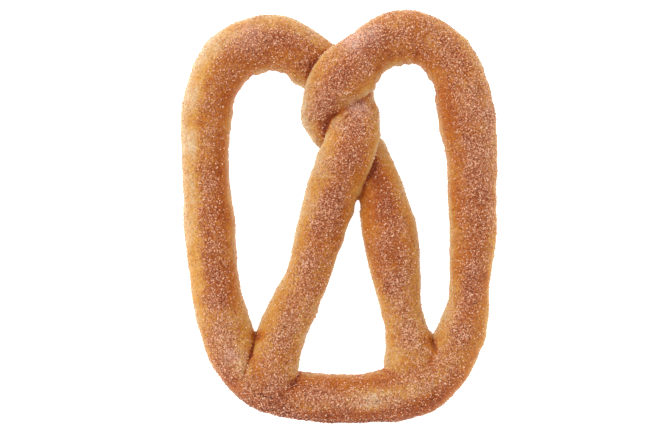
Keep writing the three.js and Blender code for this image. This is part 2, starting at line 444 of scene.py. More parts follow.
@dataclass
class Rope:
    """The route of the rolled dough, from the left tip round both arches to the right tip."""

    plumpness: float = 0.83
    upper: Crossing = Crossing(-1, 60, Side.RIGHT)
    lower: Crossing = Crossing(4.5, 31, Side.LEFT)
    climb: float = 10.5
    climb_reach: float = 31
    squash_under: float = 0.3
    squash_over: float = 0.12
    squash_reach: float = 24
    tip_lift: Dict[Side, float] = field(default_factory=lambda: {Side.LEFT: 6, Side.RIGHT: 2})
    tip_squash: float = 0.2
    tip_reach: float = 30
    tip_rounding: float = 11
    route_steps: int = 32
    bend_window: int = 12
    centring: Tuple[float, float] = (-0.1, 0.15)
    bottom_middle: Station = Station(0, -79, 20.6)
    left_arm: Tuple[Station, ...] = several(
        Station,
        (-21, -77.6, 20.8), (-33.3, -73.3, 21.4), (-41.5, -65.2, 20.7), (-50.7, -44, 22.6),
        (-54, -29, 20.8), (-55.7, -13, 21.8), (-58, 22, 20.4), (-55.6, 53, 21.8),
        (-44.2, 70.4, 24.6), (-30, 75, 24.6), (-15, 69.5, 23.2), (-1.5, 59, 22), (7, 47, 19.6),
        (5, 31.5, 22.8), (0.1, 19, 23.2), (-4.6, 6, 22.2), (-13.2, -24, 19.3), (-19, -38, 20.8),
        (-24.7, -51, 21.2), (-30.2, -77.5, 20.5),
    )
    right_arm: Tuple[Station, ...] = several(
        Station,
        (19, -78.3, 22.4), (34, -74.5, 23.5), (46.2, -65.5, 21.4), (54.8, -45, 20.3),
        (57, -30, 17.6), (58, -15, 19.7), (58, 12, 21.3), (55, 44, 24.4), (52, 58.5, 23),
        (45, 70.5, 22.8), (37.5, 76.1, 22.8), (28.5, 77.5, 23.8), (18, 74.4, 22.4),
        (12, 69.6, 22.4), (6, 63.4, 26), (-1.5, 56.5, 23.8), (-5.8, 44.5, 20.2),
        (-0.5, 35.5, 20.5), (9.5, 26.5, 21), (18, 11.5, 20), (22.2, -9, 23.6),
        (24.8, -26, 21.4), (26.6, -38, 18.3), (29.2, -50, 18.8), (31.5, -62, 23.2),
        (32.5, -76, 21.5),
    )

    @staticmethod
    def swell(distance: Array, reach: float) -> Array:
        """1 at the middle of a stretch, falling smoothly to 0 at its reach."""
        return 0.5 + 0.5 * np.cos(np.pi * np.minimum(1, np.abs(distance) / reach))

    @staticmethod
    def _around(last: int, reach: int) -> Tuple[Array, Array]:
        """Numbers of the points a reach before and after each point, up to the last."""
        index = np.arange(last + 1)
        return np.maximum(0, index - reach), np.minimum(last, index + reach)

    def _curve(self, stations: Sequence[Station]) -> Array:
        """A centripetal Catmull-Rom curve through stations.

        Args:
            stations: the places and widths.

        Returns:
            Rows of x, y and width.
        """
        knots = np.array([(s.x, s.y, s.width) for s in stations], float)
        ends = [2 * knots[0] - knots[1]], [2 * knots[-1] - knots[-2]]
        run = np.vstack([ends[0], knots, ends[1]])
        share = np.arange(self.route_steps)[:, None] / self.route_steps
        square, cube = share**2, share**3
        rows = []
        for before, start, end, after in zip(run, run[1:], run[2:], run[3:]):
            pairs = ((before, start), (start, end), (end, after))
            gaps = [np.sum((b - a) ** 2) ** 0.25 for a, b in pairs]
            leave = (start - before) / gaps[0] - (end - before) / (gaps[0] + gaps[1])
            arrive = (after - end) / gaps[2] - (after - start) / (gaps[1] + gaps[2])
            middle = (end - start) / gaps[1]
            leave, arrive = (leave + middle) * gaps[1], (arrive + middle) * gaps[1]
            rows.append(
                (2 * cube - 3 * square + 1) * start
                + (cube - 2 * square + share) * leave
                + (3 * square - 2 * cube) * end
                + (cube - square) * arrive
            )
        return np.vstack(rows + [knots[-1:]])

    def _arm(self, stations: Sequence[Station], side: Side) -> Dict[str, Array]:
        """Everything that is known along one arm.

        Args:
            stations: the arm's stations after the middle of the bottom bar.
            side: which arm it is.

        Returns:
            Columns by name.
        """
        rows = self._curve([self.bottom_middle, *stations])
        x, y, width = rows.T
        along = np.r_[0, np.cumsum(np.hypot(np.diff(x), np.diff(y)))]
        base, squash = np.zeros_like(x), np.zeros_like(x)
        for crossing in (self.upper, self.lower):
            nearest = np.argmin(np.hypot(x - crossing.x, y - crossing.y))
            away = along - along[nearest]
            is_over = crossing.over is side
            if is_over:
                base += self.climb * self.swell(away, self.climb_reach)
            share = self.squash_over if is_over else self.squash_under
            squash += share * self.swell(away, self.squash_reach)
        to_tip = along[-1] - along
        press = self.swell(np.maximum(0, to_tip - self.tip_rounding), self.tip_reach)
        base += self.tip_lift[side] * press
        squash += self.tip_squash * press
        opening = np.minimum(1, to_tip / self.tip_rounding)
        shape = {"x": x, "y": y, "width": width, "along": along, "base": base}
        shape["height"] = width * self.plumpness * (1 - squash)
        shape["closing"] = np.sqrt(1 - (1 - opening) ** 2)
        return shape

    def columns(self) -> Dict[str, Array]:
        """The whole rope, point by point, in millimetres and radians.

        Returns:
            Columns by name, from the left tip to the right tip.
        """
        left = self._arm(self.left_arm, Side.LEFT)
        right = self._arm(self.right_arm, Side.RIGHT)
        start = left["along"][-1]
        left["along"] = -left["along"]
        rope = {name: np.r_[left[name][:0:-1], right[name]] for name in left}
        rope["along"] = rope["along"] + start
        last = len(rope["x"]) - 1
        before, after = self._around(last, 1)
        ahead = (rope["x"][after] - rope["x"][before], rope["y"][after] - rope["y"][before])
        rope["heading"] = np.arctan2(ahead[1], ahead[0])
        before, after = self._around(last, self.bend_window)
        turn = rope["heading"][after] - rope["heading"][before]
        run = rope["along"][after] - rope["along"][before]
        rope["bend"] = np.arctan2(np.sin(turn), np.cos(turn)) / run
        rope["x"] = rope["x"] + self.centring[0]
        rope["y"] = rope["y"] + self.centring[1]
        return rope

    def polyline(self) -> Mesh:
        """The rope's middle line.

        Returns:
            A mesh of edges that carries the rope's columns.
        """
        rope = self.columns()
        count = len(rope["x"])
        mesh = bpy.data.meshes.new("rope_line")
        places = np.stack([rope["x"], rope["y"], rope["base"]], 1) * MM
        mesh.from_pydata(places.tolist(), [(i, i + 1) for i in range(count - 1)], [])
        store(mesh, rope)
        return mesh


@dataclass(frozen=True)
class CrustFinish:
    """Baked crust, from pale dough to brown, under grains of sugar and cinnamon, with painted shade
    in creases and underneath and a painted rim light at its edges.
    """

    cream: Colour = srgb(225, 199, 157)
    pale: Colour = srgb(213, 172, 124)
    golden: Colour = srgb(212, 152, 70)
    orange: Colour = srgb(194, 112, 34)
    amber: Colour = srgb(168, 80, 16)
    brown: Colour = srgb(124, 50, 14)
    cinnamon: Colour = srgb(108, 38, 16)
    stained: Colour = srgb(142, 64, 36)
    rose: Colour = srgb(168, 94, 66)
    honey: Colour = srgb(204, 142, 110)
    clear: Colour = srgb(248, 208, 182)
    dust: Colour = srgb(226, 198, 190)
    # pale edge seen from above: partly paler crust, partly a painted rim light
    pale_edge_and_rim_light: Colour = srgb(220, 200, 148)
    # painted shade: the dark brown that creases and the bar's crumbly outer edge are darkened
    # towards
    painted_shade_brown: Colour = srgb(122, 46, 15)
    # painted shade: the dark brown that the underside is darkened towards
    shaded_underside: Colour = srgb(70, 32, 16)
    shadow: Colour = (0.86, 0.84, 0.82, 1.0)
    light: Colour = (1.12, 1.14, 1.18, 1.0)
    bake_stops: Tuple[float, ...] = (0.0, 0.12, 0.3, 0.55, 0.8, 1.0)
    tone_stops: Tuple[float, ...] = (0.0, 0.25, 0.55, 0.8, 1.0)
    thickness: float = 0.78
    pale_edge_and_rim_light_share: float = 0.6
    roughness: float = 0.6
    grain_size: float = 0.45 * MM
    patches: Tuple[float, float, float] = (7 * MM, 3.0, 0.55)  # pitch, detail and roughness
    mottle: Tuple[float, float, float] = (1.9 * MM, 3.0, 0.6)
    pores: Tuple[float, float, float] = (0.9 * MM, 2.0, 0.7)
    patch_bake: float = 0.4
    mottle_bake: float = 0.35
    pore_bake: float = 0.5
    tone_bake: float = 0.55
    bake_tone: float = 0.6
    frost_tone: float = 0.35
    mottle_tone: float = 0.1
    sugar_mottle: Range = (0.8, 0.4)
    frost_mottle: Range = (0.6, 2.0)
    grain_edge: float = 0.08
    painted_shade_share: float = 0.8
    underside_shade_share: float = 0.75
    bump: float = 0.6
    bump_depth: float = 0.35 * MM
    gloss: float = 0.2

    def material(self) -> bpy.types.Material:
        """Builds the crust's look.

        Returns:
            The material, which reads bake, sugar, frost, the painted shade, the rim and the shaded
            underside from the mesh.
        """
        g = ShaderGraph("baked_crust")
        patches, mottle, pores = (g.grain(*n) for n in (self.patches, self.mottle, self.pores))
        luck, shade, dome = g.grains(self.grain_size)
        bake = g.attribute("bake") + (patches - 0.5) * self.patch_bake
        bake = bake + (mottle - 0.5) * self.mottle_bake + (pores - 0.5) * self.pore_bake
        bakes = (self.cream, self.pale, self.golden, self.orange, self.amber, self.brown)
        crust = g.ramp(bake.clamped(), *zip(self.bake_stops, bakes))
        # pale edge at the outline: partly paler crust, partly a painted rim light
        crust = g.mix(g.attribute("rim") * self.pale_edge_and_rim_light_share, crust, self.pale_edge_and_rim_light)
        frost = g.attribute("frost")
        tone = shade + frost * self.frost_tone - (bake - self.tone_bake) * self.bake_tone
        tone = tone + (mottle - 0.5) * self.mottle_tone
        tones = (self.cinnamon, self.stained, self.rose, self.honey, self.clear)
        coat = g.ramp(tone.clamped(), *zip(self.tone_stops, tones))
        base, share = self.sugar_mottle
        sugar = g.attribute("sugar") * (base + mottle * share) + frost
        thickness = self.thickness * (0.5 + 0.5 * sugar.clamped())
        cover = g.step(sugar - luck, -self.grain_edge, self.grain_edge)
        relief = g.ramp(shade, (0.0, self.shadow), (1.0, self.light))
        grainy = g.mix(1.0, crust, relief, mode="MULTIPLY")
        coated = g.mix(cover * thickness, grainy, coat)
        base, share = self.frost_mottle
        coated = g.mix((frost * (base + (mottle - 0.5) * share)).clamped(), coated, self.dust)
        # painted shade in creases and along the bar's outer edge, over a partly darker crust
        painted_shade = (g.attribute("painted_shade") * self.painted_shade_share).clamped()
        coloured = g.mix(painted_shade, coated, self.painted_shade_brown)
        # painted shade on the underside, darker towards the floor
        coloured = g.mix(g.attribute("shaded_underside") * self.underside_shade_share, coloured, self.shaded_underside)
        height = pores * 0.5 + mottle * 0.5 + cover * dome * 0.5
        inputs = {"Strength": self.bump, "Distance": self.bump_depth, "Height": height}
        shader = {
            "Base Color": coloured,
            "Roughness": self.roughness,
            "Specular IOR Level": self.gloss,
            "Normal": g.take("ShaderNodeBump", {}, inputs, "Normal"),
        }
        return g.finish(shader)


@dataclass(frozen=True)
class CrystalFinish:
    """Sugar crystals, from clear and white to stained by cinnamon."""

    name: str
    light: Colour
    dark: Colour
    roughness: float = 0.35

    def material(self) -> bpy.types.Material:
        """Builds the crystals' look.

        Returns:
            The material, which reads each crystal's tint from the mesh.
        """
        g = ShaderGraph(self.name)
        colour = g.mix(g.attribute("tint"), self.dark, self.light)
        gloss = {"Roughness": self.roughness, "Specular IOR Level": 0.5}
        return g.finish({"Base Color": colour, **gloss})


class Bake(Enum):
    """How far a part of the crust is baked, from 0, pale, to 1, brown."""

    CREAM = 0.2
    GOLD = 0.35
    ORANGE = 0.5
    AMBER = 0.65
    BROWN = 0.85


class Cover(Enum):
    """How thickly the sugar lies along the middle of its band."""

    THIN = 0.5
    USUAL = 0.75
    THICK = 0.95


class Lean(Enum):
    """Which flank the sugared band leans to, as seen when walking from the left tip."""

    LEFT = 0.2
    MIDDLE = 0.0
    RIGHT = -0.2


class Band(Enum):
    """Half width of the sugared band, as a share of the strand's half width."""

    NARROW = 0.65
    EVEN = 0.85
    WIDE = 1.05


CREAM, GOLD, ORANGE, AMBER, BROWN = Bake
THIN, USUAL, THICK = Cover
LEFT, MIDDLE, RIGHT = Lean
NARROW, EVEN, WIDE = Band


@dataclass(frozen=True)
class Stretch:
    """How a natural section of the rope is baked and sugared."""

    at: float  # millimetres from the left tip
    left: Bake  # the flank on the left of someone who walks from the left tip to the right
    ridge: Bake
    right: Bake
    sugar: Cover
    lean: Lean
    spread: Band


@dataclass(frozen=True)
class Spot:
    """A round spot, in millimetres, with an amount of something that fades around it."""

    x: float
    y: float
    radius: float
    amount: float

    def share(self, x: Array, y: Array) -> Array:
        """1 in the middle of the spot, fading around it."""
        return np.exp(-((np.hypot(x - self.x, y - self.y) / self.radius) ** 2))


@dataclass(frozen=True)
class Seam:
    """A crease where one part of the dough was pressed on another, in millimetres."""

    route: Tuple[Range, ...]
    depth: float
    width: float

    def closeness(self, x: Array, y: Array) -> Array:
        """1 on the crease, falling to 0 beside it and at its ends.

        Args:
            x: places to the right.
            y: places towards the arches.

        Returns:
            The closeness of each place.
        """
        knots = np.array(self.route)
        lengths = np.hypot(*np.diff(knots, axis=0).T)
        start, total = 0.0, lengths.sum()
        best = np.zeros_like(x)
        wave_start, wave_share = 0.12, 0.76  # of half a wave, so that the ends are shallow
        for knot, step, length in zip(knots, np.diff(knots, axis=0), lengths):
            share = np.clip(((x - knot[0]) * step[0] + (y - knot[1]) * step[1]) / length**2, 0, 1)
            away = np.hypot(x - knot[0] - share * step[0], y - knot[1] - share * step[1])
            run = (start + share * length) / total
            ends = np.sin(np.pi * (wave_start + wave_share * run))
            best = np.maximum(best, np.exp(-((away / self.width) ** 2)) * ends)
            start += length
        return best


@dataclass(frozen=True)
class Baking:
    """Where the oven and the sugar reached the rope."""

    LEVELS = ("left", "ridge", "right", "sugar", "lean", "spread")

    stretches: Tuple[Stretch, ...] = several(
        Stretch,
        (8, ORANGE, ORANGE, GOLD, THICK, MIDDLE, WIDE),  # left tip
        (28, GOLD, GOLD, GOLD, USUAL, RIGHT, EVEN),
        (60, GOLD, ORANGE, ORANGE, THICK, MIDDLE, EVEN),  # left leg
        (108, GOLD, AMBER, ORANGE, THICK, MIDDLE, NARROW),  # crossing
        (140, GOLD, ORANGE, GOLD, USUAL, MIDDLE, WIDE),
        (175, AMBER, AMBER, GOLD, USUAL, MIDDLE, WIDE),  # left arch
        (210, AMBER, ORANGE, CREAM, THIN, LEFT, NARROW),
        (255, AMBER, ORANGE, CREAM, USUAL, LEFT, NARROW),  # left side
        (295, AMBER, AMBER, GOLD, THICK, LEFT, NARROW),
        (330, GOLD, GOLD, ORANGE, USUAL, RIGHT, WIDE),  # left corner
        # the brown right flank from here along the bar is partly baked crust, partly painted shade
        (355, AMBER, AMBER, BROWN, THICK, RIGHT, WIDE),
        (395, AMBER, CREAM, BROWN, USUAL, MIDDLE, WIDE),  # bottom bar
        (420, ORANGE, GOLD, BROWN, USUAL, LEFT, WIDE),
        (440, CREAM, ORANGE, ORANGE, USUAL, LEFT, EVEN),  # right corner
        (485, ORANGE, AMBER, ORANGE, THICK, MIDDLE, EVEN),
        (540, AMBER, ORANGE, GOLD, THICK, RIGHT, WIDE),  # right side
        (585, AMBER, ORANGE, ORANGE, USUAL, RIGHT, WIDE),  # right arch
        (625, ORANGE, AMBER, GOLD, THICK, MIDDLE, EVEN),
        (645, GOLD, AMBER, CREAM, THICK, MIDDLE, EVEN),  # elbow
        (680, GOLD, BROWN, AMBER, THIN, LEFT, NARROW),  # right leg
        (705, ORANGE, AMBER, AMBER, THICK, MIDDLE, EVEN),
        (740, GOLD, GOLD, GOLD, USUAL, MIDDLE, EVEN),
        (762, GOLD, ORANGE, GOLD, USUAL, LEFT, WIDE),  # right tip
    )
    tints: Tuple[Spot, ...] = several(
        Spot,
        # painted shade: darker where strands meet
        (-35.2, -51.6, 2.5, 0.5), (40, -53.5, 3, 0.5), (-20.5, -72, 2.5, 0.3),
        (-46.5, -71, 4, 0.3), (-7.4, 37.8, 3, 0.3),
        # pale where it rose late
        (-42, -65, 5, -0.2), (12.6, 51.7, 3, -0.3),
    )
    frost: Tuple[Spot, ...] = several(
        Spot,
        (8, 46.5, 3.5, 0.6), (5.5, 76, 4.5, 0.8), (13, 79, 4, 0.4), (-40, 78, 7, 0.25),
        (-47, -60, 2.5, 0.4), (20, 89.4, 3, 0.25), (31, 91, 3, 0.25), (40, 90.2, 3, 0.25),
        (48.8, 85, 3, 0.25),
    )
    crumbs: Tuple[Spot, ...] = several(
        Spot,
        (-38, -77, 6, 0.7), (-28, -84, 6, 1.0), (-17, -88, 6, 0.8), (-5, -90, 6, 1.0),
        (8, -90, 6, 1.0), (19, -89, 6, 0.7), (30, -86, 5, 0.4),
    )
    rim_from: float = 0.65
    rim_fade: float = 0.12
    pale_from: float = 0.87
    nook_rounds: int = 40
    nook_depth: Range = (-0.1, 0.9)
    stray: float = 0.09
    tray_bake: float = 0.85
    rim_full: float = 0.9
    pale_full: float = 0.98
    nook_edge: Range = (0.75, 0.95)
    # painted shade in the nooks beside crossings, added as extra bake
    nook_shade: float = 0.5
    nook_bare: float = 0.7
    hollow_rounds: int = 6
    hollow_depth: Range = (0.05, 0.31)
    band_reach: float = 0.84
    band_power: float = 2.4
    band_wander: Range = (0.2, 0.15)
    band_puffs: float = 0.6
    lean_share: float = 0.6
    flank_blend: Range = (0.14, 0.62)
    cloud_bake: float = 0.15
    # painted shade along the bar's crumbly outer edge: where it lies and how strong it is
    crumb_edge_shade_reach: Range = (0.74, 0.93)
    crumb_edge_shade_weight: float = 1.2
    facing_rounds: int = 4
    across_rounds: int = 3
    tray_full: float = 0.9
    pale_bare: Range = (1.6, 0.8)
    rim_bake: float = 1.8
    rim_dent: Range = (-0.3, 0.2)
    frost_turn: float = 0.5
    crumb_turn: float = 0.6
    clouds: Tuple[Range, ...] = ((13, 9.4), (8, 4.6), (4, 2.2))  # pitch and seed
    clump_relief: float = 0.7
    clump_noise: Range = (2.1, 6.1)
    relief: Tuple[Tuple[float, float, float], ...] = (
        (0.34, 8.5, 3.1),  # height and pitch in millimetres, and seed
        (0.24, 3.6, 7.7),
        (0.15, 1.7, 5.2),
    )

    def along(self, name: str, places: Array) -> Array:
        """One of the stretches' values, blended along the rope."""
        at = [s.at for s in self.stretches]
        return np.interp(places, at, [getattr(s, name).value for s in self.stretches])


@dataclass
class Dough:
    """The whole pretzel's dough: one rope, laid, crossed, pressed together and baked."""

    rope: Rope = field(default_factory=Rope)
    finish: CrustFinish = CrustFinish()
    baking: Baking = Baking()
    sides: int = 72
    waist: float = 0.43
    undercut: float = 1.25
    lump: float = 0.35
    wrinkle_depth: float = 0.9
    wrinkle_pitch: float = 7.5
    tight_bend: float = 1 / 24
    voxel: float = 0.8
    fillet_rounds: int = 2
    seams: Tuple[Seam, ...] = (
        Seam(((-35.4, -48.5), (-37.2, -56), (-39.6, -64), (-41.6, -71)), 1.4, 1.0),  # left tip
        Seam(((-39.5, -73), (-36, -76), (-30, -78), (-24.5, -77)), 1.5, 0.28),
        Seam(((39, -49), (40.8, -54), (42.2, -60)), 1.2, 1.2),  # right tip
        Seam(((-4, 38), (3, 42.5), (9.5, 46.5)), 1.2, 0.8),  # where the legs cross
    )
    melds: Tuple[Spot, ...] = several(
        Spot,
        (29, -70.5, 8, 1.0), (36.5, -64.5, 3.5, 0.9), (-24, -76, 4, 0.8), (12, 50, 4.5, 0.5),
        (-5.6, 36, 3.5, 0.3), (2, 44.5, 4, 0.6),
    )
    bulges: Tuple[Spot, ...] = several(
        Spot,  # millimetres that the strand's side stands out, or is pinched where negative
        # left arch
        (-56.5, 76.4, 6, 0.6), (-62.3, 67.8, 7, 0.9), (-68.9, 41.7, 7, 0.8),
        (-46.9, 41.7, 6, 0.6), (-43.5, 51, 4, -0.5), (-39.2, 60.6, 2.6, -0.5),
        (-33.4, 61.9, 2.6, 0.8), (-29.6, 64, 2.4, -0.6), (-24, 62.6, 3, -1.9),
        (-18.7, 58.2, 3.2, 0.9),
        # left side and corner
        (-45.4, -1.7, 7, 1.0), (-56.2, -62.5, 7, 1.2), (-50.7, -71.2, 6, 0.7),
        # crossing
        (-15.5, 50.4, 5, -0.5), (-16.7, 41.7, 5.5, 1.1), (15, 50.4, 3.2, -0.9),
        (17, 57, 2.6, -1.0), (17.8, 62.5, 2.6, -1.2), (15.2, 54.3, 1.6, 0.7),
        (18.9, 33, 4, 1.2), (6.7, 8.2, 2.2, -0.6),
        # legs
        (4.6, -1.7, 5, 0.7), (2, -10.4, 5, 0.5), (-7.9, -36.5, 5, -0.6), (33.1, -1.7, 6, 0.8),
        (19.2, -62.5, 4, 1.0), (19.2, -53.9, 4, 0.3),
        # right arch
        (55.8, 76.4, 7, 0.55), (60.9, 67.8, 5, 0.5), (37.4, 62.2, 3.4, -0.2),
        (41.3, 56.9, 3, -0.5), (42.2, 50.4, 3.2, 0.6),
        # right side and corner
        (46.8, 24.3, 7, -0.8), (47.1, -36.5, 6, -0.6), (68, 41.7, 8, 0.5),
        (62.9, -53.9, 7, 0.6), (40.8, -51.5, 2.4, 1.1),
        # bar
        (-6, -88.5, 6, 0.6), (25, -89, 6, 0.6), (6.1, -68.6, 5, -0.7),
    )

    def _lumps(self, g: GeometryGraph, x: Signal, y: Signal, z: Signal) -> Signal:
        """Broad uneven swellings.

        Args:
            g: the tree.
            x: place to the right, in millimetres.
            y: place towards the arches.
            z: height.

        Returns:
            How far the surface stands out.
        """
        sine = lambda value: g.math("SINE", value)
        broad = sine(x / 7.3 + 1.9 * sine(y / 11.7)) * sine(y / 8.9 + z / 6.1)
        fine = sine(x / 3.7 - y / 4.9 + 2) * sine(y / 3.1 + z / 3.3 + x / 9.7)
        return g.given("Lump height") * (broad + 0.45 * fine)

    def _folds(self, g: GeometryGraph, sideways: Signal) -> Signal:
        """Folds across the inside of a tight bend.

        Args:
            g: the tree.
            sideways: 1 at the strand's left side and -1 at its right.

        Returns:
            The depth that the surface sinks by.
        """
        bend = g.named("bend")
        along = g.named("along")
        tightness = g.math("MINIMUM", g.math("ABSOLUTE", bend) / self.tight_bend, 1.0)
        inward = g.math("MAXIMUM", sideways * g.math("SIGN", bend), 0.0)
        phase = along * (2 * math.pi) / g.given("Fold pitch") + g.math("SINE", along / 9)
        fold = 0.5 + 0.5 * g.math("COSINE", phase)
        return g.given("Fold depth") * tightness * inward * fold

    def _sweep(self) -> Mesh:
        """Sweeps the rope along its route.

        Returns:
            The skin of the rope, which crosses itself.
        """
        g = GeometryGraph(
            "swept_rope",
            {
                "Sides": self.sides,
                "Waist": self.waist,
                "Undercut": self.undercut,
                "Lump height": self.lump,
                "Fold depth": self.wrinkle_depth,
                "Fold pitch": self.wrinkle_pitch,
                "Crust": self.finish.material(),
            },
        )
        line = g.take("GeometryNodeMeshToCurve", {}, {"Mesh": g.given("Geometry")})
        inputs = {"Resolution": g.given("Sides"), "Radius": 1.0}
        circle = g.take("GeometryNodeCurvePrimitiveCircle", {}, inputs)
        spot = g.node("ShaderNodeSeparateXYZ", {}, {0: g.take("GeometryNodeInputPosition")})
        circle = g.keep(circle, "sideways", Signal(g, spot.outputs[0]))
        circle = g.keep(circle, "upwards", Signal(g, spot.outputs[1]))
        inputs = {"Curve": line, "Profile Curve": circle, "Fill Caps": True}
        tube = g.take("GeometryNodeCurveToMesh", {}, inputs)
        sideways, upwards = g.named("sideways"), g.named("upwards")
        closing, base, height = g.named("closing"), g.named("base"), g.named("height")
        heading = g.named("heading")
        left_x, left_y = 0 - g.math("SINE", heading), g.math("COSINE", heading)
        waist = height * g.given("Waist")
        above = (height - waist) * g.math("MAXIMUM", upwards, 0.0)
        below = waist * g.given("Undercut") * g.math("MINIMUM", upwards, 0.0)
        below = g.math("MAXIMUM", below, 0 - waist)
        reach = g.named("width") * 0.5 * closing * sideways
        x, y = g.named("x") + left_x * reach, g.named("y") + left_y * reach
        z = base + waist + closing * (above + below)
        free = closing * g.math("MAXIMUM", 1 + 1.4 * g.math("MINIMUM", upwards, 0.0), 0.0)
        out = (self._lumps(g, x, y, z) - self._folds(g, sideways)) * free
        x, y = x + left_x * sideways * out, y + left_y * sideways * out
        z = g.math("MAXIMUM", z + upwards * out, 0.0)
        place = g.take("ShaderNodeCombineXYZ", {}, {0: x * MM, 1: y * MM, 2: z * MM})
        tube = g.take("GeometryNodeSetPosition", {}, {"Geometry": tube, "Position": place})
        g.close(tube, g.given("Crust"))
        return g.run(self.rope.polyline(), "dough_sweep")

    def _fused(self, sweep: Mesh) -> Mesh:
        """The sweep as one closed skin, without what lies inside.

        Args:
            sweep: the swept rope.

        Returns:
            The skin as small even quads.
        """
        carrier = linked("dough_carrier", sweep)
        remesh = carrier.modifiers.new("skin", "REMESH")
        remesh.mode = "VOXEL"
        remesh.voxel_size = self.voxel * MM
        return baked_mesh(carrier, "dough")

    def build(self) -> bpy.types.Object:
        """Builds, dresses and places the dough.

        Returns:
            The dough as one piece.
        """
        sweep = self._sweep()
        skin = self._fused(sweep)
        surface = Skin(skin, sweep)
        surface.smooth(self.fillet_rounds)
        surface.meld(self.melds)
        surface.crease(self.seams)
        surface.swell(self.bulges)
        surface.roughen(self.baking)
        surface.paint(self.baking)
        surface.write()
        skin.materials.clear()
        skin.materials.append(bpy.data.materials["baked_crust"])
        skin.polygons.foreach_set("use_smooth", [True] * len(skin.polygons))
        piece = placed(skin, "dough")
        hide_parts(NODE)
        return piece


def smooth_step(values: Array, low: Level, high: Level) -> Array:
    """A smooth step from 0 at the low value to 1 at the high one."""
    share = np.clip((values - low) / (high - low), 0, 1)
    return share * share * (3 - 2 * share)


